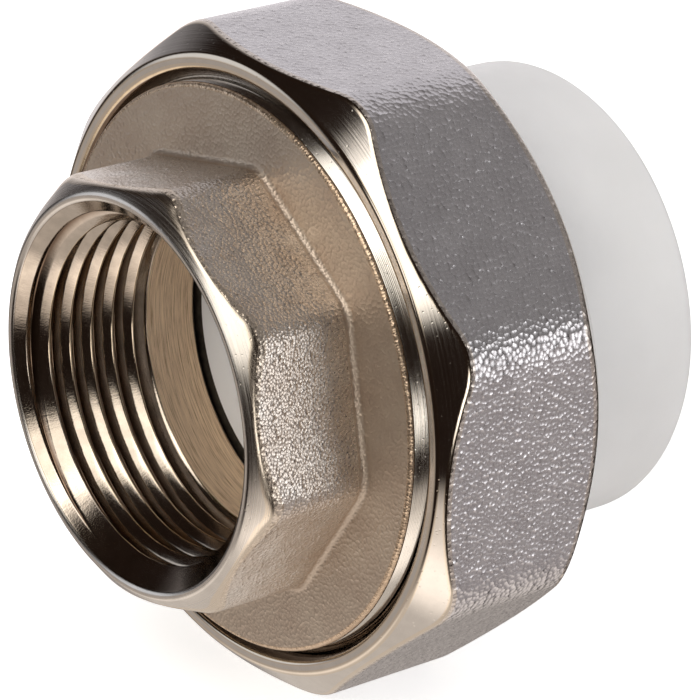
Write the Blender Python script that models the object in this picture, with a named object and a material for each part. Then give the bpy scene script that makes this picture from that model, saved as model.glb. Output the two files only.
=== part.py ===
"""Union fitting: a 3/4 inch female-threaded brass tail, clamped by an octagonal union nut to
a plastic socket for 25 mm pipe. A rubber O-ring round the socket's boss makes the seal.

Every piece is turned about one flow axis, which runs along +Y from the threaded mouth to the
pipe socket. A station is a distance along that axis, measured from the mouth's face, and an
angle about it is measured from +Z towards +X. The fitting lies on one flat of its nut, so the
floor is z = 0, and x = 0, y = 0 is the middle of its length.
"""

from math import atan, cos, pi, radians, sin, sqrt, tan

import bmesh
import bpy

MM = 0.001

# Overall
LENGTH = 38.0 * MM
NUT_ACROSS_FLATS = 46.0 * MM
AXIS_HEIGHT = NUT_ACROSS_FLATS / 2
FIT_GAP = 0.3 * MM

# Pipe thread in the mouth: parallel 3/4 inch, 14 threads per inch
MOUTH_FLANK = radians(27.5)
MOUTH_PITCH = 1.814 * MM
MOUTH_MAJOR = 26.441 / 2 * MM
MOUTH_MINOR = 24.117 / 2 * MM
MOUTH_FIRST_CREST = 0.56 * MM
MOUTH_ROWS = 16
MOUTH_THREAD_END = 10.5 * MM

# Union thread between tail and nut: metric, M42 x 1.5
UNION_FLANK = radians(30)
UNION_PITCH = 1.5 * MM
UNION_MAJOR = 42.0 / 2 * MM
UNION_MINOR = 40.376 / 2 * MM
UNION_RADIAL_GAP = 0.3 * MM
UNION_FLANK_GAP = 0.08 * MM
UNION_FIRST_GROOVE = 11.45 * MM
TAIL_THREAD_ROWS = 7
NUT_THREAD_ROWS = 11

# Threaded tail
TAIL_ACROSS_FLATS = 30.0 * MM
TAIL_CORNER_RADIUS = 2.8 * MM
TAIL_TURN = radians(-14.7)
TAIL_LENGTH = 15.05 * MM
MOUTH_SINK_RADIUS = 14.0 * MM
MOUTH_FACE_RADIUS = 14.35 * MM
TAIL_CHAMFER_SLOPE = 1.2
TAIL_BORE = 12.3 * MM
BORE_CHAMFER = 0.15 * MM
TAIL_BACK_CHAMFER = 0.2 * MM
FLANGE_FRONT = 9.0 * MM
FLANGE_BACK = 10.7 * MM
FLANGE_RADIUS = 20.5 * MM
FLANGE_EDGE = 0.35 * MM
FLANGE_FILLET = 0.5 * MM

# Union nut
NUT_FRONT = 9.7 * MM
NUT_BACK = 24.0 * MM
NUT_CORNER_RADIUS = 5.5 * MM
NUT_MOUTH_RADIUS = 21.5 * MM
NUT_MOUTH_END = 10.55 * MM
NUT_FACE_RADIUS = 22.3 * MM
NUT_CHAMFER_SLOPE = 1.1
NUT_THREAD_END = 17.6 * MM
NUT_LIP = 20.9 * MM
NUT_HOLE = 17.4 * MM

# O-ring
O_RING_RADIUS = 15.6 * MM
O_RING_SECTION = 1.05 * MM

# Pipe socket
BOSS_FRONT = TAIL_LENGTH + FIT_GAP
BOSS_RADIUS = 14.2 * MM
COLLAR_FRONT = BOSS_FRONT + 2 * O_RING_SECTION + FIT_GAP
COLLAR_BACK = NUT_LIP - FIT_GAP
COLLAR_RADIUS = 19.6 * MM
COLLAR_BEVEL = 0.5 * MM
SOCKET_RADIUS = 17.0 * MM
SOCKET_EDGE = 1.2 * MM
PIPE_MOUTH = 12.25 * MM
PIPE_STOP = 12.05 * MM
PIPE_LEAD_IN = 0.5 * MM
PIPE_DEPTH = 16.0 * MM
WATERWAY = 8.8 * MM

# Mesh fineness
HALF_SIDE = pi / 8
FLAT_STEPS = 4
CORNER_STEPS = 4
ROUND_STEPS = 64
ARC_STEPS = 3
O_RING_STEPS = 12


def octagon_half_flat(across_flats, corner_radius):
    """Angle from the middle of a flat to where its rounded corner starts."""
    apothem = across_flats / 2
    return atan((apothem - corner_radius) * tan(HALF_SIDE) / apothem)


def octagon_radius(across_flats, corner_radius, turn):
    """Radius of a rounded octagon, as a function of the angle about the flow axis."""
    apothem = across_flats / 2
    half_flat = octagon_half_flat(across_flats, corner_radius)
    arc_centre = (apothem - corner_radius) / cos(HALF_SIDE)

    def radius(angle):
        from_flat = abs((angle - turn + HALF_SIDE) % (2 * HALF_SIDE) - HALF_SIDE)
        if from_flat <= half_flat:
            return apothem / cos(from_flat)
        from_corner = HALF_SIDE - from_flat
        across = arc_centre * sin(from_corner)
        return arc_centre * cos(from_corner) + sqrt(corner_radius ** 2 - across ** 2)

    return radius


def octagon_angles(across_flats, corner_radius, turn):
    """Angles that put points at both ends of every flat and along every corner."""
    half_flat = octagon_half_flat(across_flats, corner_radius)
    half_corner = HALF_SIDE - half_flat
    angles = []
    for side in range(8):
        middle = turn + side * 2 * HALF_SIDE
        for step in range(FLAT_STEPS):
            angles.append(middle - half_flat + 2 * half_flat * step / FLAT_STEPS)
        for step in range(CORNER_STEPS):
            angles.append(middle + half_flat + 2 * half_corner * step / CORNER_STEPS)
    return angles


def round_angles():
    return [2 * pi * step / ROUND_STEPS for step in range(ROUND_STEPS)]


def at(rule, angle):
    """A radius or a station is a plain number or a function of the angle."""
    return rule(angle) if callable(rule) else rule


def arc(centre_radius, centre_station, size, start, end):
    """Ring places along an arc in the turned section, from one swing to another."""
    places = []
    for step in range(ARC_STEPS + 1):
        swing = start + (end - start) * step / ARC_STEPS

        def radius(angle, swing=swing):
            return at(centre_radius, angle) + size * cos(swing)

        places.append((radius, centre_station + size * sin(swing)))
    return places


def add_vertex(bm, angle, radius, station):
    return bm.verts.new((radius * sin(angle), station, radius * cos(angle)))


def add_ring(bm, angles, place):
    radius, station = place
    return [add_vertex(bm, a, at(radius, a), at(station, a)) for a in angles]


def bridge(bm, ring, next_ring):
    for i, vertex in enumerate(ring):
        j = (i + 1) % len(ring)
        bm.faces.new((vertex, ring[j], next_ring[j], next_ring[i]))


def fan(bm, tip, rim):
    for near, far in zip(rim, rim[1:]):
        bm.faces.new((tip, near, far))


def male_section(root, crest, pitch, flank_angle, flank_gap):
    """One pitch of an outside thread, as (fraction of the pitch, radius), root first."""
    flank = (crest - root) * tan(flank_angle) / pitch
    half_crest = (0.5 - flank) / 2 - flank_gap / pitch
    return [(-half_crest - flank, root), (-half_crest, crest),
            (half_crest, crest), (half_crest + flank, root)]


def female_section(start, other, pitch, flank_angle):
    """One pitch of an inside thread, as (fraction of the pitch, radius).

    It starts with the flat at the start radius, which has its middle at fraction 0.
    """
    flank = abs(other - start) * tan(flank_angle) / pitch
    half_flat = (0.5 - flank) / 2
    return [(-half_flat, start), (half_flat, start),
            (half_flat + flank, other), (1 - half_flat - flank, other)]


def add_thread(bm, angles, near, far, first, rows, pitch, section, least=None):
    """Right-hand helical wall between a near and a far plane ring.

    The helix climbs one pitch in a turn. So its first column has one more pitch of points than
    the others, and the last column meets it one pitch further on.
    """
    per_pitch = len(section)
    columns = []
    for i, angle in enumerate(angles):
        count = rows + 1 + (per_pitch if i == 0 else 0)
        column = []
        for j in range(count):
            fraction, radius = section[j % per_pitch]
            station = first + pitch * (j // per_pitch + fraction + angle / (2 * pi))
            if least:
                radius = max(radius, least(station))
            column.append(add_vertex(bm, angle, radius, station))
        columns.append(column)

    last = len(angles) - 1
    seam = columns[0]
    for i, column in enumerate(columns):
        shift = per_pitch if i == last else 0
        following = columns[0] if i == last else columns[i + 1]
        for j in range(rows):
            bm.faces.new((column[j], following[j + shift],
                          following[j + shift + 1], column[j + 1]))

    for i in range(last):
        bm.faces.new((near[i], near[i + 1], columns[i + 1][0], columns[i][0]))
    fan(bm, columns[last][0], [near[last], near[0]] + seam[:per_pitch + 1])

    for i in range(1, last):
        bm.faces.new((far[i], far[i + 1], columns[i + 1][rows], columns[i][rows]))
    bm.faces.new((far[last], far[0], seam[rows + per_pitch], columns[last][rows]))
    fan(bm, columns[1][rows], [far[1], far[0]] + seam[:rows - 1:-1])


def turned_piece(name, angles, wall, material, flow_axis):
    """Close a wall of ring places and threads into one solid, placed on the flow axis."""
    bm = bmesh.new()
    first_ring = add_ring(bm, angles, wall[0])
    ring = first_ring
    thread = None
    for item in wall[1:]:
        if isinstance(item, dict):
            thread = item
            continue
        next_ring = add_ring(bm, angles, item)
        if thread is None:
            bridge(bm, ring, next_ring)
        elif ring[0].co.y < next_ring[0].co.y:
            add_thread(bm, angles, ring, next_ring, **thread)
        else:
            add_thread(bm, angles, next_ring, ring, **thread)
        thread = None
        ring = next_ring
    bridge(bm, ring, first_ring)
    bmesh.ops.recalc_face_normals(bm, faces=bm.faces)

    mesh = bpy.data.meshes.new(name)
    bm.to_mesh(mesh)
    bm.free()
    mesh.shade_smooth()
    mesh.set_sharp_from_angle(angle=radians(35))
    mesh.materials.append(material)
    piece = bpy.data.objects.new(name, mesh)
    bpy.context.scene.collection.objects.link(piece)
    piece.parent = flow_axis
    return piece


def plain_material(name, colour, roughness, metallic):
    material = bpy.data.materials.new(name)
    material.use_nodes = True
    shader = material.node_tree.nodes["Principled BSDF"]
    shader.inputs["Base Color"].default_value = (*colour, 1)
    shader.inputs["Roughness"].default_value = roughness
    shader.inputs["Metallic"].default_value = metallic
    return material


def threaded_tail(flow_axis):
    """Brass tail: pipe thread inside, octagon, flange, and union thread at the back."""
    octagon = octagon_radius(TAIL_ACROSS_FLATS, TAIL_CORNER_RADIUS, TAIL_TURN)
    angles = octagon_angles(TAIL_ACROSS_FLATS, TAIL_CORNER_RADIUS, TAIL_TURN)
    thread_crest = UNION_MAJOR - UNION_RADIAL_GAP
    thread_root = UNION_MINOR - UNION_RADIAL_GAP
    thread_end = TAIL_LENGTH - TAIL_BACK_CHAMFER

    def chamfer(angle):
        return (octagon(angle) - MOUTH_FACE_RADIUS) / TAIL_CHAMFER_SLOPE

    def fillet_centre(angle):
        return octagon(angle) + FLANGE_FILLET

    mouth_section = female_section(MOUTH_MINOR, MOUTH_MAJOR, MOUTH_PITCH, MOUTH_FLANK)
    mouth_thread = {"first": MOUTH_FIRST_CREST, "rows": MOUTH_ROWS, "pitch": MOUTH_PITCH,
                    "section": mouth_section,
                    "least": lambda station: MOUTH_SINK_RADIUS - station}
    union_thread = {"first": UNION_FIRST_GROOVE, "rows": TAIL_THREAD_ROWS,
                    "pitch": UNION_PITCH,
                    "section": male_section(thread_root, thread_crest, UNION_PITCH,
                                            UNION_FLANK, UNION_FLANK_GAP)}
    wall = [(MOUTH_MINOR, MOUTH_THREAD_END), mouth_thread, (MOUTH_SINK_RADIUS, 0),
            (MOUTH_FACE_RADIUS, 0), (octagon, chamfer)]
    wall += arc(fillet_centre, FLANGE_FRONT - FLANGE_FILLET, FLANGE_FILLET, pi, pi / 2)
    wall += arc(FLANGE_RADIUS - FLANGE_EDGE, FLANGE_FRONT + FLANGE_EDGE, FLANGE_EDGE,
                -pi / 2, 0)
    wall += [(FLANGE_RADIUS, FLANGE_BACK), (thread_root, FLANGE_BACK), union_thread,
             (thread_root, thread_end), (thread_root - TAIL_BACK_CHAMFER, TAIL_LENGTH),
             (TAIL_BORE + BORE_CHAMFER, TAIL_LENGTH), (TAIL_BORE, TAIL_LENGTH - BORE_CHAMFER),
             (TAIL_BORE, MOUTH_THREAD_END)]
    nickel = plain_material("tail_nickel", (0.60, 0.57, 0.53), 0.35, 1.0)
    return turned_piece("threaded_tail", angles, wall, nickel, flow_axis)


def union_nut(flow_axis):
    """Octagonal nut: union thread inside, and a lip that pulls on the socket's collar."""
    octagon = octagon_radius(NUT_ACROSS_FLATS, NUT_CORNER_RADIUS, 0)
    angles = octagon_angles(NUT_ACROSS_FLATS, NUT_CORNER_RADIUS, 0)

    def chamfer_depth(angle):
        return (octagon(angle) - NUT_FACE_RADIUS) / NUT_CHAMFER_SLOPE

    thread = {"first": UNION_FIRST_GROOVE, "rows": NUT_THREAD_ROWS, "pitch": UNION_PITCH,
              "section": female_section(UNION_MAJOR, UNION_MINOR, UNION_PITCH,
                                        UNION_FLANK)}
    wall = [(UNION_MAJOR, NUT_THREAD_END), thread, (UNION_MAJOR, NUT_MOUTH_END),
            (NUT_MOUTH_RADIUS, NUT_FRONT), (NUT_FACE_RADIUS, NUT_FRONT),
            (octagon, lambda angle: NUT_FRONT + chamfer_depth(angle)),
            (octagon, lambda angle: NUT_BACK - chamfer_depth(angle)),
            (NUT_FACE_RADIUS, NUT_BACK), (NUT_HOLE, NUT_BACK), (NUT_HOLE, NUT_LIP),
            (UNION_MAJOR, NUT_LIP)]
    nickel = plain_material("nut_nickel", (0.55, 0.54, 0.53), 0.4, 1.0)
    return turned_piece("union_nut", angles, wall, nickel, flow_axis)


def o_ring(flow_axis):
    """Rubber ring round the socket's boss, level with its face."""
    station = BOSS_FRONT + O_RING_SECTION
    wall = []
    for step in range(O_RING_STEPS):
        swing = 2 * pi * step / O_RING_STEPS
        wall.append((O_RING_RADIUS + O_RING_SECTION * cos(swing),
                     station + O_RING_SECTION * sin(swing)))
    rubber = plain_material("black_rubber", (0.02, 0.02, 0.02), 0.7, 0.0)
    return turned_piece("o_ring", round_angles(), wall, rubber, flow_axis)


def pipe_socket(flow_axis):
    """White plastic socket: a boss, a collar for the nut, a waterway, and a pipe bore."""
    pipe_stop = LENGTH - PIPE_DEPTH
    wall = [(WATERWAY, BOSS_FRONT), (BOSS_RADIUS, BOSS_FRONT), (BOSS_RADIUS, COLLAR_FRONT),
            (COLLAR_RADIUS - COLLAR_BEVEL, COLLAR_FRONT),
            (COLLAR_RADIUS, COLLAR_FRONT + COLLAR_BEVEL), (COLLAR_RADIUS, COLLAR_BACK),
            (SOCKET_RADIUS, COLLAR_BACK)]
    wall += arc(SOCKET_RADIUS - SOCKET_EDGE, LENGTH - SOCKET_EDGE, SOCKET_EDGE, 0, pi / 2)
    wall += [(PIPE_MOUTH + PIPE_LEAD_IN, LENGTH), (PIPE_MOUTH, LENGTH - PIPE_LEAD_IN),
             (PIPE_STOP, pipe_stop), (WATERWAY, pipe_stop)]
    plastic = plain_material("white_plastic", (0.80, 0.80, 0.79), 0.45, 0.0)
    return turned_piece("pipe_socket", round_angles(), wall, plastic, flow_axis)


def clear_scene():
    for item in list(bpy.data.objects):
        bpy.data.objects.remove(item, do_unlink=True)


def main():
    clear_scene()
    flow_axis = bpy.data.objects.new("flow_axis", None)
    bpy.context.scene.collection.objects.link(flow_axis)
    flow_axis.location = (0, -LENGTH / 2, AXIS_HEIGHT)
    for build_piece in (threaded_tail, union_nut, o_ring, pipe_socket):
        build_piece(flow_axis)


main()
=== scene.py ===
from math import atan, cos, pi, radians, sin, sqrt, tan, tau

import bpy
import numpy as np
from mathutils import Matrix, Vector


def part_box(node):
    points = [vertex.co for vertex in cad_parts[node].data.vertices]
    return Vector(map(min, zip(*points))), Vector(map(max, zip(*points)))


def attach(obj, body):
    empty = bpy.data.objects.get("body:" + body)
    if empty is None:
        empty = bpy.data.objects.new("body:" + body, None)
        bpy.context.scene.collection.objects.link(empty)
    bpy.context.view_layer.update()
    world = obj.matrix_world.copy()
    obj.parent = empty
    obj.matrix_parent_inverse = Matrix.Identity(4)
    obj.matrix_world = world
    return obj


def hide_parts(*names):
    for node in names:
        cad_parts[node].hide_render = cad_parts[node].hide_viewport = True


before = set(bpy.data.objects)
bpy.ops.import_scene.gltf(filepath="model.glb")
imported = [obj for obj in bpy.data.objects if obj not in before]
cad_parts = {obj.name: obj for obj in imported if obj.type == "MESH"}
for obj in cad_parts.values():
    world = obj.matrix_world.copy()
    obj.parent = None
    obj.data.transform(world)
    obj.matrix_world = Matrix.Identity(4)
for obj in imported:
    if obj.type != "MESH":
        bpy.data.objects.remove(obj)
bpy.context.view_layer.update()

MM = 0.001

# The flow axis runs along +Y. A station is a distance along it from the mouth's face, and an
# angle about it goes from +Z towards +X. Lengths are in metres and angles in radians.
tail_low, tail_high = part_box("threaded_tail")
nut_low, nut_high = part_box("union_nut")
ring_low, ring_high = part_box("o_ring")
socket_low, socket_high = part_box("pipe_socket")
ORIGIN = Vector((0, tail_low.y, (nut_low.z + nut_high.z) / 2))
LENGTH = socket_high.y - tail_low.y

# Threaded tail
TAIL_LENGTH = tail_high.y - tail_low.y
TAIL_ACROSS_FLATS = 30.0 * MM
TAIL_CORNER = 2.8 * MM
TAIL_TURN = radians(-14.7)
TAIL_CHAMFER_SLOPE = 1.2
SINK_RADIUS = 14.0 * MM
LIP_RADIUS = 14.2 * MM
LIP_ROUND = 0.5 * MM
LIP_SWING = atan(TAIL_CHAMFER_SLOPE)
MOUTH_PITCH = 1.814 * MM
MOUTH_MAJOR = 26.441 / 2 * MM
MOUTH_MINOR = 24.117 / 2 * MM
MOUTH_DEPTH = MOUTH_MAJOR - MOUTH_MINOR
MOUTH_GROOVE = 0.56 * MM + MOUTH_PITCH / 2
MOUTH_FLANK = MOUTH_DEPTH * tan(radians(27.5)) / MOUTH_PITCH
MOUTH_BEVEL = 0.5
MOUTH_START = 0.2 * MM
MOUTH_END = 10.5 * MM
MOUTH_RUNOUT = 0.4 * MOUTH_PITCH
TAIL_BORE = 12.3 * MM
BORE_CHAMFER = 0.3 * MM
FLANGE_FRONT = 9.0 * MM
FLANGE_BACK = 10.7 * MM
FLANGE_RADIUS = 20.5 * MM
FLANGE_EDGE = 0.35 * MM
FLANGE_FILLET = 0.5 * MM
RIM_START = FLANGE_FRONT + FLANGE_EDGE * 1.1
RIM_GROOVES = 9
RIM_GROOVE_PITCH = 0.14 * MM
RIM_GROOVE_DEPTH = 0.08 * MM
RIM_GROOVE_SLOPE = RIM_GROOVE_PITCH * 0.65
RIM_ROUND = 0.012 * MM
BACK_CHAMFER = 0.2 * MM

# Union thread, M42 x 1.5
UNION_PITCH = 1.5 * MM
UNION_MAJOR = 42.0 / 2 * MM
UNION_MINOR = 40.376 / 2 * MM
UNION_DEPTH = UNION_MAJOR - UNION_MINOR
UNION_GAP = 0.3 * MM
UNION_GROOVE = 11.45 * MM
UNION_FLANK = UNION_DEPTH * tan(radians(30)) / UNION_PITCH
TAIL_THREAD_START = 10.8 * MM
TAIL_THREAD_END = TAIL_LENGTH - BACK_CHAMFER * 1.5

# Union nut
NUT_ACROSS_FLATS = nut_high.z - nut_low.z
NUT_CORNER = 5.5 * MM
NUT_FRONT = nut_low.y - tail_low.y
NUT_BACK = nut_high.y - tail_low.y
NUT_FACE = 22.3 * MM
NUT_CHAMFER_SLOPE = 1.1
NUT_MOUTH = 21.5 * MM
NUT_MOUTH_END = 10.55 * MM
NUT_THREAD_END = 17.6 * MM
NUT_LIP = 20.9 * MM
NUT_HOLE = 17.4 * MM

# O-ring
RING_SECTION = (ring_high.y - ring_low.y) / 2
RING_STATION = (ring_low.y + ring_high.y) / 2 - tail_low.y
RING_RADIUS = (ring_high.x - ring_low.x) / 2 - RING_SECTION

# Pipe socket
BOSS_FRONT = socket_low.y - tail_low.y
BOSS_RADIUS = 14.2 * MM
# Radius where the painted shadow of the gap at the tail's end begins
GAP_SHADE_RADIUS = 12.0 * MM
RING_GAP = 0.3 * MM
COLLAR_FRONT = RING_STATION + RING_SECTION + RING_GAP
COLLAR_RADIUS = (socket_high.x - socket_low.x) / 2
COLLAR_BACK = 20.6 * MM
SOCKET_RADIUS = 17.0 * MM
SOCKET_EDGE = 1.2 * MM
PIPE_MOUTH = 12.25 * MM
PIPE_STOP = 12.05 * MM
PIPE_DEPTH = 16.0 * MM
WATERWAY = 8.8 * MM

# Mesh fineness
METAL_COLUMNS = 480
SOFT_COLUMNS = 256
MOUTH_STEP = 0.05 * MM
UNION_STEP = 0.1 * MM
CURVE_ROWS = 4
ARC_ROWS = 6
RING_ROWS = 32

# Rounding of the corners, as distances along either side. A round takes up at most the share
# LONGEST_ROUND of a side, and the rows next to it are the share CLOSE_ROW of its reach away.
CRISP = 0.05 * MM
FINE = 0.1 * MM
USUAL = 0.15 * MM
EASED = 0.2 * MM
LONGEST_ROUND = 0.4
CLOSE_ROW = 0.2

# Threads: the share of a smooth curve in the straight-sided profile, and how far the bevel
# reaches over half of the ridge's flat.
THREAD_ROUNDING = 0.2
BEVEL_SPREAD = 1.6

HALF_SIDE = pi / 8

# Finishes: the brass that shows at worn edges, how much of it shows on blasted and on turned
# faces, a height on a thread with neither wear nor painted groove shade, and a tool mark's
# depth
GOLDEN = (0.74, 0.60, 0.43)
EDGE_WEAR = 0.35
TURNED_WEAR = 0.4
PLAIN_PLATING = 0.8
TOOL_MARK = 0.004 * MM


def octagon(angle, across_flats, corner):
    """Radius at an angle of a rounded octagon whose first flat faces angle 0."""
    apothem = across_flats / 2
    half_flat = atan((apothem - corner) * tan(HALF_SIDE) / apothem)
    from_flat = abs((angle + HALF_SIDE) % (2 * HALF_SIDE) - HALF_SIDE)
    if from_flat <= half_flat:
        return apothem / cos(from_flat)
    arc_centre = (apothem - corner) / cos(HALF_SIDE)
    from_corner = HALF_SIDE - from_flat
    across = arc_centre * sin(from_corner)
    return arc_centre * cos(from_corner) + sqrt(corner ** 2 - across ** 2)


def thread_wave(station, angle, groove, pitch, flank, bevel=0.0):
    """0 on an inside thread's ridges and 1 in its grooves.

    groove is a station in the middle of a groove at angle 0, and flank the share of the pitch
    that one flank takes up. The ridge's front edge is bevelled by a share of the depth.
    """
    past_groove = ((station - groove) / pitch - angle / tau) % 1
    half_flat = (0.5 - flank) / 2
    bevel_end = half_flat + flank + (BEVEL_SPREAD * half_flat if bevel else 0)
    rise = np.interp(past_groove,
                     (half_flat, half_flat + flank * (1 - bevel), bevel_end,
                      3 * half_flat + flank, 1 - half_flat),
                     (1, bevel, 0, 0, 1))
    return rise * rise * (3 - 2 * rise) * THREAD_ROUNDING + rise * (1 - THREAD_ROUNDING)


def union_thread(station, angle):
    """Radius of the thread in the nut. The one on the tail is smaller by UNION_GAP."""
    wave = thread_wave(station, angle, UNION_GROOVE, UNION_PITCH, UNION_FLANK)
    return UNION_MINOR + UNION_DEPTH * wave


class Section:
    """The turned section at one angle: a loop of corners at (radius, station). A corner's
    finish is that of the surface between it and the next corner."""

    def __init__(self):
        self.corners = []

    def corner(self, radius, station, finish, soft=USUAL, edge=0.0):
        """Add a corner, whose round reaches soft along either side. edge is its wear, and on a
        thread its height, which also sets the painted shade in the grooves.
        """
        self.corners.append((Vector((radius, station)), finish, soft, edge))

    def arc(self, radius, station, size, start, end, finish, count=ARC_ROWS):
        """Add an arc round (radius, station), from one angle to another."""
        for row in range(count + 1):
            swing = start + (end - start) * row / count
            self.corner(radius + size * cos(swing), station + size * sin(swing), finish, 0)

    def rows(self):
        """Round each corner that has a softness, with a close row on either side, and give
        rows of (place, finish, edge)."""
        rows = []
        count = len(self.corners)
        for i, (place, finish, soft, edge) in enumerate(self.corners):
            before = self.corners[i - 1]
            if not soft:
                rows.append((place, finish, edge))
                continue
            toward_last = before[0] - place
            toward_next = self.corners[(i + 1) % count][0] - place
            reach = min(soft, toward_last.length * LONGEST_ROUND,
                        toward_next.length * LONGEST_ROUND)
            toward_last.normalize()
            toward_next.normalize()
            start = place + toward_last * reach
            end = place + toward_next * reach
            rows.append((start + toward_last * reach * CLOSE_ROW, before[1], 0.0))
            for step in range(CURVE_ROWS + 1):
                t = step / CURVE_ROWS
                bend = start * (1 - t) ** 2 + place * 2 * t * (1 - t) + end * t ** 2
                rows.append((bend, before[1] if t < 0.5 else finish, 1.0))
            rows.append((end + toward_next * reach * CLOSE_ROW, finish, 0.0))
        return rows


def lathe(name, section, columns, finishes):
    """Sweep a section, which may change with the angle, into one closed solid about the
    flow axis. finishes maps the names that the section uses to materials."""
    places = []
    edges = []
    for column in range(columns):
        angle = tau * column / columns
        rows = section(angle).rows()
        places += [(r * sin(angle), s, r * cos(angle)) for (r, s), _, _ in rows]
        edges += [edge for _, _, edge in rows]
    count = len(rows)
    names = list(finishes)
    strip = [names.index(finish) for _, finish, _ in rows]

    column, row = np.meshgrid(np.arange(columns), np.arange(count), indexing="ij")
    next_column = (column + 1) % columns
    next_row = (row + 1) % count
    faces = np.stack([column * count + row, column * count + next_row,
                      next_column * count + next_row, next_column * count + row], axis=-1)
    mesh = bpy.data.meshes.new(name)
    mesh.from_pydata(places, [], faces.reshape(-1, 4).tolist())
    mesh.polygons.foreach_set("material_index", np.tile(strip, columns))
    mesh.attributes.new("edge", "FLOAT", "POINT").data.foreach_set("value", edges)
    for finish in names:
        mesh.materials.append(finishes[finish])
    mesh.shade_smooth()
    mesh.update()
    piece = bpy.data.objects.new(name, mesh)
    piece.location = ORIGIN
    bpy.context.scene.collection.objects.link(piece)
    return piece


def thread_rows(section, start, end, step, radius_at, crest, sink=0.0):
    """Rows every step along a threaded wall, which may end in a countersink. Their edge value
    is 1 on the ridges, where plating wears, and 0 down in the grooves, painted dark as shade."""
    count = round(abs(end - start) / step)
    for row in range(count + 1):
        station = start + (end - start) * row / count
        radius = radius_at(station)
        # A low height means deep in a groove, which is painted dark as shade
        height = max(0, 1 - abs(radius - crest) / MOUTH_DEPTH)
        if sink - station > radius:
            radius = sink - station
            height = PLAIN_PLATING
        section.corner(radius, station, "thread", soft=0, edge=height)


def tail_section(angle):
    outline = octagon(angle - TAIL_TURN, TAIL_ACROSS_FLATS, TAIL_CORNER)
    section = Section()

    def mouth(station):
        wave = thread_wave(station, angle, MOUTH_GROOVE, MOUTH_PITCH, MOUTH_FLANK, MOUTH_BEVEL)
        runout = min(1, max(0, (MOUTH_END - station) / MOUTH_RUNOUT))
        return MOUTH_MINOR + MOUTH_DEPTH * wave * runout

    def union(station):
        return union_thread(station, angle) - UNION_GAP

    thread_rows(section, MOUTH_END, MOUTH_START, MOUTH_STEP, mouth, MOUTH_MINOR, SINK_RADIUS)
    section.arc(LIP_RADIUS, LIP_ROUND, LIP_ROUND, -0.75 * pi, -LIP_SWING, "lip")
    chamfer_end = LIP_ROUND * (1 - sin(LIP_SWING))
    chamfer_end += (outline - LIP_RADIUS - LIP_ROUND * cos(LIP_SWING)) / TAIL_CHAMFER_SLOPE
    section.corner(outline, chamfer_end, "flats", 0.6 * MM)
    section.arc(outline + FLANGE_FILLET, FLANGE_FRONT - FLANGE_FILLET, FLANGE_FILLET,
                pi, pi / 2, "fillet")
    section.arc(FLANGE_RADIUS - FLANGE_EDGE, FLANGE_FRONT + FLANGE_EDGE, FLANGE_EDGE,
                -pi / 2, 0, "flange")
    for groove in range(RIM_GROOVES):
        start = RIM_START + groove * RIM_GROOVE_PITCH
        section.corner(FLANGE_RADIUS - RIM_GROOVE_DEPTH, start, "rim", RIM_ROUND)
        section.corner(FLANGE_RADIUS, start + RIM_GROOVE_SLOPE, "rim", RIM_ROUND)
    section.corner(FLANGE_RADIUS - RIM_GROOVE_DEPTH, FLANGE_BACK, "back", CRISP)
    root = UNION_MINOR - UNION_GAP
    section.corner(root, FLANGE_BACK, "thread", CRISP)
    thread_rows(section, TAIL_THREAD_START, TAIL_THREAD_END, UNION_STEP, union,
                UNION_MAJOR - UNION_GAP)
    section.corner(root - BACK_CHAMFER, TAIL_LENGTH, "back", CRISP)
    section.corner(TAIL_BORE + BORE_CHAMFER, TAIL_LENGTH, "back", FINE)
    section.corner(TAIL_BORE, TAIL_LENGTH - BORE_CHAMFER, "bore", FINE)
    section.corner(TAIL_BORE, MOUTH_END, "thread", FINE)
    return section


def nut_section(angle):
    outline = octagon(angle, NUT_ACROSS_FLATS, NUT_CORNER)
    depth = (outline - NUT_FACE) / NUT_CHAMFER_SLOPE
    section = Section()

    def thread(station):
        return union_thread(station, angle)

    thread_rows(section, NUT_THREAD_END, NUT_MOUTH_END, UNION_STEP, thread, UNION_MINOR)
    section.corner(NUT_MOUTH, NUT_FRONT, "face", EASED)
    section.corner(NUT_FACE, NUT_FRONT, "chamfer", 0.25 * MM)
    section.corner(outline, NUT_FRONT + depth, "flats", 0.3 * MM)
    section.corner(outline, NUT_BACK - depth, "chamfer", 0.4 * MM)
    section.corner(NUT_FACE, NUT_BACK, "face")
    section.corner(NUT_HOLE, NUT_BACK, "face", EASED)
    section.corner(NUT_HOLE, NUT_LIP, "face", FINE)
    section.corner(UNION_MAJOR, NUT_LIP, "face", FINE)
    section.corner(UNION_MAJOR, NUT_THREAD_END + UNION_STEP, "thread", CRISP)
    return section


def ring_section(angle):
    section = Section()
    last = tau * (1 - 1 / RING_ROWS)
    section.arc(RING_RADIUS, RING_STATION, RING_SECTION, 0, last, "rubber", RING_ROWS - 1)
    return section


def socket_section(angle):
    section = Section()
    pipe_stop = LENGTH - PIPE_DEPTH
    section.corner(WATERWAY, BOSS_FRONT, "plastic", 0.3 * MM)
    # From here out the boss is painted near black as the shadow of the gap
    section.corner(GAP_SHADE_RADIUS, BOSS_FRONT, "gap_shade", 0.02 * MM)
    section.corner(BOSS_RADIUS, BOSS_FRONT, "plastic")
    section.corner(BOSS_RADIUS, COLLAR_FRONT, "plastic")
    section.corner(COLLAR_RADIUS, COLLAR_FRONT, "plastic", 0.5 * MM)
    section.corner(COLLAR_RADIUS, COLLAR_BACK, "plastic", EASED)
    section.corner(SOCKET_RADIUS, COLLAR_BACK, "plastic", EASED)
    section.arc(SOCKET_RADIUS - SOCKET_EDGE, LENGTH - SOCKET_EDGE, SOCKET_EDGE, 0, pi / 2,
                "plastic")
    section.corner(PIPE_MOUTH, LENGTH, "plastic", 0.5 * MM)
    section.corner(PIPE_STOP, pipe_stop, "plastic", 0.3 * MM)
    section.corner(WATERWAY, pipe_stop, "plastic", 0.3 * MM)
    return section


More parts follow.
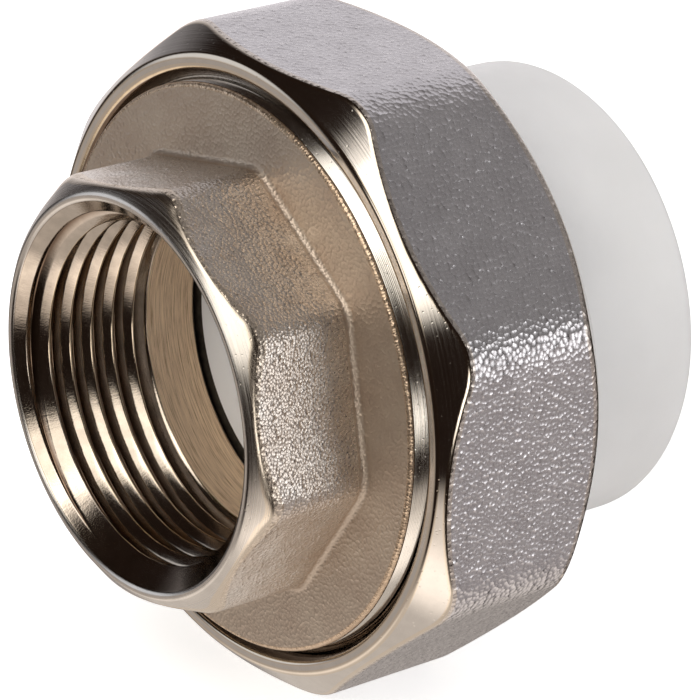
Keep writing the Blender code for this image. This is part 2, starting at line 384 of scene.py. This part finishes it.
class Finish:
    """A procedural material, built node by node around one Principled shader."""

    def __init__(self, name, metallic, roughness):
        self.material = bpy.data.materials.new(name)
        self.material.use_nodes = True
        self.nodes = self.material.node_tree.nodes
        self.links = self.material.node_tree.links
        self.shader = self.nodes["Principled BSDF"]
        self.shader.inputs["Metallic"].default_value = metallic
        self.shader.inputs["Roughness"].default_value = roughness
        self.place = self.node("ShaderNodeTexCoord").outputs["Object"]

    def node(self, kind, **settings):
        node = self.nodes.new(kind)
        for key, value in settings.items():
            setattr(node, key, value)
        return node

    def join(self, source, target):
        self.links.new(source, target)

    def maths(self, operation, *values):
        node = self.node("ShaderNodeMath", operation=operation)
        for socket, value in zip(node.inputs, values):
            if isinstance(value, (int, float)):
                socket.default_value = value
            else:
                self.join(value, socket)
        return node.outputs[0]

    def noise(self, size, detail=2.0, roughness=0.5, place=None):
        """Noise whose features are about size metres across, from 0 to 1."""
        node = self.node("ShaderNodeTexNoise")
        node.inputs["Scale"].default_value = 1 / size
        node.inputs["Detail"].default_value = detail
        node.inputs["Roughness"].default_value = roughness
        self.join(place or self.place, node.inputs["Vector"])
        return node.outputs["Fac"]

    def cells(self, size):
        """Distance from the middle of the nearest of many scattered cells."""
        node = self.node("ShaderNodeTexVoronoi")
        node.inputs["Scale"].default_value = 1 / size
        self.join(self.place, node.inputs["Vector"])
        return node.outputs["Distance"]

    def turned_place(self, across, along):
        """Coordinates that stretch a texture into lines round the flow axis."""
        split = self.node("ShaderNodeSeparateXYZ")
        self.join(self.place, split.inputs[0])
        x, y, z = split.outputs
        radius = self.maths("SQRT", self.maths("ADD", self.maths("MULTIPLY", x, x),
                                               self.maths("MULTIPLY", z, z)))
        angle = self.maths("ARCTAN2", x, z)
        joined = self.node("ShaderNodeCombineXYZ")
        self.join(self.maths("DIVIDE", radius, across), joined.inputs[0])
        self.join(self.maths("DIVIDE", y, across), joined.inputs[1])
        self.join(self.maths("DIVIDE", angle, along), joined.inputs[2])
        return joined.outputs[0]

    def ramp(self, source, *stops):
        """Map a 0 to 1 value through (position, colour or grey) stops."""
        node = self.node("ShaderNodeValToRGB")
        elements = node.color_ramp.elements
        while len(elements) < len(stops):
            elements.new(0.5)
        for element, (position, colour) in zip(elements, stops):
            element.position = position
            colour = colour if isinstance(colour, tuple) else (colour,) * 3
            element.color = (*colour, 1)
        self.join(source, node.inputs[0])
        return node.outputs[0]

    def between(self, noise, low, high):
        """Map a noise to the colours or greys between low and high."""
        return self.ramp(noise, (0.3, low), (0.7, high))

    def mix(self, factor, first, second, blend="MIX"):
        node = self.node("ShaderNodeMix", data_type="RGBA", blend_type=blend)
        for socket, value in ((node.inputs[0], factor), (node.inputs[6], first),
                              (node.inputs[7], second)):
            if isinstance(value, (int, float)):
                socket.default_value = value
            elif isinstance(value, tuple):
                socket.default_value = (*value, 1)
            else:
                self.join(value, socket)
        return node.outputs[2]

    def edge(self):
        """Edge value: 1 on corners and ridges, for wear, and low in grooves, for painted
        shade.
        """
        node = self.node("ShaderNodeAttribute", attribute_name="edge")
        return node.outputs["Fac"]

    def bump(self, height, distance):
        """Raise the surface by height times distance, on top of the bumps made before."""
        node = self.node("ShaderNodeBump")
        node.inputs["Distance"].default_value = distance
        node.inputs["Strength"].default_value = 1.0
        self.join(height, node.inputs["Height"])
        last = self.shader.inputs["Normal"]
        if last.links:
            self.join(last.links[0].from_socket, node.inputs["Normal"])
        self.join(node.outputs[0], last)

    def colour(self, source):
        self.join(source, self.shader.inputs["Base Color"])

    def roughness(self, source):
        self.join(source, self.shader.inputs["Roughness"])


def blasted_nickel(name, tint, shade, grain, depth, gloss, wave=0.0):
    """Shot-blasted and plated brass: a field of small round dimples that each catch the light,
    with the brass showing through along the edges.

    grain and depth are a dimple's size and depth, gloss the least and greatest roughness, and
    wave the height of the slow unevenness of the forging.
    """
    finish = Finish(name, 1.0, gloss[0])
    mottle = finish.noise(2.6 * MM, 4, 0.6)
    fine = finish.noise(grain * 0.6, 2)
    colour = finish.between(mottle, shade, tint)
    worn = finish.maths("MULTIPLY", finish.edge(), EDGE_WEAR)
    finish.colour(finish.mix(worn, colour, GOLDEN))
    finish.roughness(finish.between(fine, *gloss))
    dimple = finish.cells(grain)
    finish.bump(finish.maths("MULTIPLY", dimple, dimple), depth)
    finish.bump(finish.noise(grain * 1.8, 3, 0.5), depth * 0.35)
    if wave:
        finish.bump(finish.noise(3.2 * MM, 2), wave)
    return finish.material


def turned_nickel(name, tint, roughness):
    """Nickel over a turned surface: mirror-like, with fine lines round the axis and a few
    pits."""
    finish = Finish(name, 1.0, roughness)
    lines = finish.noise(1.0, 3, 0.6, finish.turned_place(0.09 * MM, 0.9))
    shade = tuple(c * 0.9 for c in tint)
    colour = finish.between(finish.noise(1.5 * MM, 3), shade, tint)
    worn = finish.maths("MULTIPLY", finish.edge(), TURNED_WEAR)
    finish.colour(finish.mix(worn, colour, GOLDEN))
    finish.roughness(finish.between(lines, roughness * 0.7, roughness * 1.6))
    finish.bump(lines, TOOL_MARK)
    finish.bump(finish.ramp(finish.cells(0.5 * MM), (0.08, 0.0), (0.16, 1.0)), TOOL_MARK)
    return finish.material


def thread_nickel(name, tint, groove_shade):
    """Cut and plated thread: ridges with chatter marks, and sandy grooves painted dark as
    shade.
    """
    finish = Finish(name, 1.0, 0.12)
    chatter = finish.noise(1.0, 2, 0.6, finish.turned_place(0.9 * MM, 0.012))
    grain = finish.noise(0.11 * MM, 2)
    # Painted shade in the grooves, plain plating up the flanks and worn brass on the crests
    height = finish.ramp(finish.edge(), (0.1, groove_shade), (0.55, tint), (0.93, tint),
                         (1.0, GOLDEN))
    blotch = finish.between(finish.noise(1.2 * MM, 3), 0.78, 1.0)
    finish.colour(finish.mix(1.0, height, blotch, "MULTIPLY"))
    finish.roughness(finish.ramp(grain, (0.35, 0.07), (0.7, 0.17)))
    finish.bump(chatter, TOOL_MARK)
    finish.bump(grain, TOOL_MARK)
    return finish.material


def brushed_bore(name):
    """Bare, brown-tinted brass bore with long tool lines."""
    finish = Finish(name, 1.0, 0.42)
    lines = finish.noise(1.0, 5, 0.75, finish.turned_place(0.10 * MM, 0.30))
    finish.colour(finish.ramp(lines, (0.36, (0.40, 0.26, 0.15)), (0.5, (0.80, 0.61, 0.42)),
                              (0.66, (0.98, 0.80, 0.58))))
    finish.roughness(finish.between(lines, 0.35, 0.55))
    finish.bump(lines, 0.02 * MM)
    return finish.material


def black_rubber(name):
    finish = Finish(name, 0.0, 0.75)
    finish.colour(finish.between(finish.noise(0.8 * MM, 3), 0.012, 0.03))
    finish.bump(finish.noise(0.15 * MM, 3), 0.015 * MM)
    return finish.material


def painted_gap_shade(name):
    """Painted shade: the ring on the boss beside the tail's end, dark as the gap's shadow."""
    finish = Finish(name, 0.0, 0.6)
    finish.colour(finish.between(finish.noise(0.5 * MM, 3), (0.012, 0.008, 0.005),
                                 (0.05, 0.04, 0.028)))
    finish.bump(finish.noise(0.2 * MM, 2), 0.01 * MM)
    return finish.material


def white_plastic(name):
    """Moulded polypropylene: smooth, slightly waxy, with a faint orange peel."""
    finish = Finish(name, 0.0, 0.42)
    finish.colour(finish.between(finish.noise(6 * MM, 3), (0.76, 0.76, 0.765),
                                 (0.80, 0.80, 0.805)))
    finish.roughness(finish.between(finish.noise(0.9 * MM, 3), 0.40, 0.52))
    finish.shader.inputs["Subsurface Weight"].default_value = 0.25
    finish.shader.inputs["Subsurface Radius"].default_value = (1.0, 0.95, 0.9)
    finish.shader.inputs["Subsurface Scale"].default_value = 1.2 * MM
    finish.bump(finish.noise(1.4 * MM, 3), 0.010 * MM)
    return finish.material


def make_pieces():
    """Build the four visible pieces, tie each to its body, and hide the CAD node it stands
    for.
    """
    # The thread's second colour is painted shade for its grooves
    thread = thread_nickel("thread_nickel", (0.56, 0.49, 0.42), (0.20, 0.14, 0.10))
    tail = lathe("tail_shell", tail_section, METAL_COLUMNS, {
        "thread": thread,
        "lip": turned_nickel("mouth_lip", (0.68, 0.64, 0.60), 0.2),
        "flats": blasted_nickel("tail_flats", (0.70, 0.65, 0.60), (0.60, 0.52, 0.45),
                                0.22 * MM, 0.045 * MM, (0.22, 0.4), 0.2 * MM),
        "fillet": blasted_nickel("tail_fillet", (0.64, 0.55, 0.46), (0.56, 0.46, 0.38),
                                 0.26 * MM, 0.04 * MM, (0.4, 0.5)),
        "flange": blasted_nickel("flange_face", (0.70, 0.55, 0.41), (0.57, 0.43, 0.31),
                                 0.18 * MM, 0.03 * MM, (0.24, 0.38)),
        "rim": turned_nickel("flange_rim", (0.70, 0.67, 0.63), 0.12),
        "back": turned_nickel("tail_back", (0.60, 0.56, 0.51), 0.25),
        "bore": brushed_bore("tail_bore"),
    })
    nut = lathe("nut_shell", nut_section, METAL_COLUMNS, {
        "thread": thread,
        "face": turned_nickel("nut_face", (0.66, 0.63, 0.60), 0.10),
        "chamfer": turned_nickel("turned_nickel", (0.68, 0.64, 0.60), 0.08),
        "flats": blasted_nickel("nut_flats", (0.66, 0.64, 0.65), (0.56, 0.54, 0.55),
                                0.36 * MM, 0.075 * MM, (0.22, 0.36)),
    })
    ring = lathe("ring_shell", ring_section, SOFT_COLUMNS, {
        "rubber": black_rubber("o_ring_rubber")})
    # The socket's gap finish is painted shade on the boss, beside the tail's end
    socket = lathe("socket_shell", socket_section, SOFT_COLUMNS, {
        "plastic": white_plastic("socket_plastic"), "gap_shade": painted_gap_shade("socket_gap_shade")})
    for piece, body, node, slot in (
            (tail, "tail", "threaded_tail", "tail_nickel"),
            (nut, "nut", "union_nut", "nut_nickel"),
            (ring, "socket", "o_ring", "o_ring_rubber"),
            (socket, "socket", "pipe_socket", "socket_plastic")):
        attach(piece, body)
        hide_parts(node)


# Studio
FLOOR_SIZE = 6.0
FLOOR_GLOW = 0.62
ROOM = (0.018, 0.011, 0.008, 1)
WHITE = (1, 1, 1, 1)
FILL_DISTANCE = 1.5
CAMERA_TARGET = Vector((-0.0005, 0.0013, 0.0216))
CAMERA_AZIMUTH = radians(50.6)
CAMERA_ELEVATION = radians(25.34)
CAMERA_ROLL = radians(4.0)
CAMERA_DISTANCE = 0.2935
CAMERA_NEAR = 0.01
CAMERA_LENS = 209.5
CAMERA_SENSOR = 36.0


def direction(azimuth, elevation):
    """Unit vector out of the object towards a place at that azimuth, 0 being in front."""
    return Vector((sin(azimuth) * cos(elevation), -cos(azimuth) * cos(elevation),
                   sin(elevation)))


def make_camera():
    camera = bpy.data.objects.new("camera", bpy.data.cameras.new("camera"))
    bpy.context.scene.collection.objects.link(camera)
    back = direction(CAMERA_AZIMUTH, CAMERA_ELEVATION)
    right = Vector((0, 0, 1)).cross(back).normalized()
    up = back.cross(right)
    turn = Matrix.Rotation(CAMERA_ROLL, 3, back)
    axes = Matrix((turn @ right, turn @ up, back)).transposed()
    camera.matrix_world = (Matrix.Translation(CAMERA_TARGET + back * CAMERA_DISTANCE)
                           @ axes.to_4x4())
    camera.data.lens = CAMERA_LENS
    camera.data.sensor_width = CAMERA_SENSOR
    camera.data.clip_start = CAMERA_NEAR
    bpy.context.scene.camera = camera


def make_floor():
    """Pale paper, lit up for the camera only. The metal reflects the soft boxes instead."""
    bpy.ops.mesh.primitive_plane_add(size=FLOOR_SIZE)
    floor = bpy.context.object
    floor.name = "floor"
    finish = Finish("floor_paper", 0.0, 0.9)
    finish.shader.inputs["Specular IOR Level"].default_value = 0.0
    finish.colour(finish.between(finish.noise(0.3, 2), 0.90, 0.92))
    seen = finish.node("ShaderNodeLightPath").outputs["Is Camera Ray"]
    finish.shader.inputs["Emission Color"].default_value = WHITE
    glow = finish.maths("MULTIPLY", seen, FLOOR_GLOW)
    finish.join(glow, finish.shader.inputs["Emission Strength"])
    floor.data.materials.append(finish.material)
    floor.visible_glossy = False
    floor.visible_shadow = False


def add_fill(name, azimuth, elevation, size, strength):
    """A big soft light in watts that only lights matt surfaces. The metal doesn't show it."""
    data = bpy.data.lights.new(name, "AREA")
    data.size = size
    data.energy = strength
    light = bpy.data.objects.new(name, data)
    bpy.context.scene.collection.objects.link(light)
    way = direction(radians(azimuth), radians(elevation))
    light.location = ORIGIN + way * FILL_DISTANCE
    light.rotation_mode = "QUATERNION"
    light.rotation_quaternion = way.to_track_quat("Z", "Y")
    light.visible_camera = False
    light.visible_glossy = False


class Studio:
    """The dark room and its soft boxes, all far away, as the metal reflects them."""

    def __init__(self):
        world = bpy.data.worlds.new("studio")
        bpy.context.scene.world = world
        world.use_nodes = True
        self.nodes = world.node_tree.nodes
        self.links = world.node_tree.links
        self.way = self.nodes.new("ShaderNodeTexCoord").outputs["Generated"]
        room = self.nodes.new("ShaderNodeRGB")
        room.outputs[0].default_value = ROOM
        self.light = room.outputs[0]

    def box(self, azimuth, elevation, inner, outer, strength, colour):
        """A soft patch of light: full inside the inner angle and gone at the outer one."""
        dot = self.nodes.new("ShaderNodeVectorMath")
        dot.operation = "DOT_PRODUCT"
        self.links.new(self.way, dot.inputs[0])
        dot.inputs[1].default_value = direction(radians(azimuth), radians(elevation))
        fade = self.nodes.new("ShaderNodeMapRange")
        fade.interpolation_type = "SMOOTHSTEP"
        fade.inputs["From Min"].default_value = cos(radians(outer))
        fade.inputs["From Max"].default_value = cos(radians(inner))
        self.links.new(dot.outputs["Value"], fade.inputs["Value"])
        glow = self.nodes.new("ShaderNodeVectorMath")
        glow.operation = "SCALE"
        glow.inputs[0].default_value = tuple(c * strength for c in colour)
        self.links.new(fade.outputs["Result"], glow.inputs["Scale"])
        total = self.nodes.new("ShaderNodeVectorMath")
        self.links.new(self.light, total.inputs[0])
        self.links.new(glow.outputs["Vector"], total.inputs[1])
        self.light = total.outputs["Vector"]

    def finish(self):
        """Show a plain white backdrop to the camera, and the boxes to everything else."""
        boxes = self.nodes["Background"]
        self.links.new(self.light, boxes.inputs["Color"])
        backdrop = self.nodes.new("ShaderNodeBackground")
        backdrop.inputs["Color"].default_value = WHITE
        pick = self.nodes.new("ShaderNodeMixShader")
        self.links.new(self.nodes.new("ShaderNodeLightPath").outputs["Is Camera Ray"],
                       pick.inputs[0])
        self.links.new(boxes.outputs[0], pick.inputs[1])
        self.links.new(backdrop.outputs[0], pick.inputs[2])
        self.links.new(pick.outputs[0], self.nodes["World Output"].inputs["Surface"])


def make_lights():
    """Azimuth 0 is in front of the mouth, 90 on the right, and 180 behind the socket."""
    studio = Studio()
    # The paper below
    studio.box(0, -87, 38, 52, 1.0, (0.72, 0.66, 0.60))
    # In front of the mouth, for the chamfers, the lip, the rim and the thread
    studio.box(12, 28, 12, 23, 2.2, (1.0, 0.95, 0.86))
    studio.box(8, 54, 12, 22, 2.3, (1.0, 0.95, 0.88))
    studio.box(57, -5, 7, 14, 2.6, (1.0, 0.95, 0.88))
    studio.box(-55, 2, 9, 20, 0.95, (0.90, 0.94, 1.0))
    studio.box(36, -44, 9, 22, 1.0, (1.0, 0.90, 0.80))
    studio.box(-10, 6, 5, 11, 1.8, (1.0, 0.97, 0.92))
    # At the sides and behind, for the flats of the nut and of the tail
    studio.box(-128, 18, 22, 50, 0.78, (0.97, 0.95, 0.99))
    studio.box(124, 4, 9, 18, 2.2, (0.97, 0.985, 1.0))
    studio.box(-160, 62, 10, 40, 1.0, (0.04, 0.036, 0.035))
    studio.box(-48, -36, 12, 32, 1.0, (0.51, 0.46, 0.415))
    studio.box(-120, -16, 14, 36, 1.0, (0.42, 0.39, 0.38))
    studio.box(132, -30, 28, 46, 1.0, (0.39, 0.36, 0.355))
    studio.box(150, 40, 16, 64, 1.0, (0.27, 0.265, 0.265))
    studio.finish()
    add_fill("top_fill", 0, 90, 2.4, 10.2)
    add_fill("back_fill", 150, 30, 1.6, 5.0)
    add_fill("front_fill", 20, 25, 1.6, 5.6)
    bpy.context.scene.view_settings.view_transform = "Standard"


make_camera()
make_pieces()
make_floor()
make_lights()
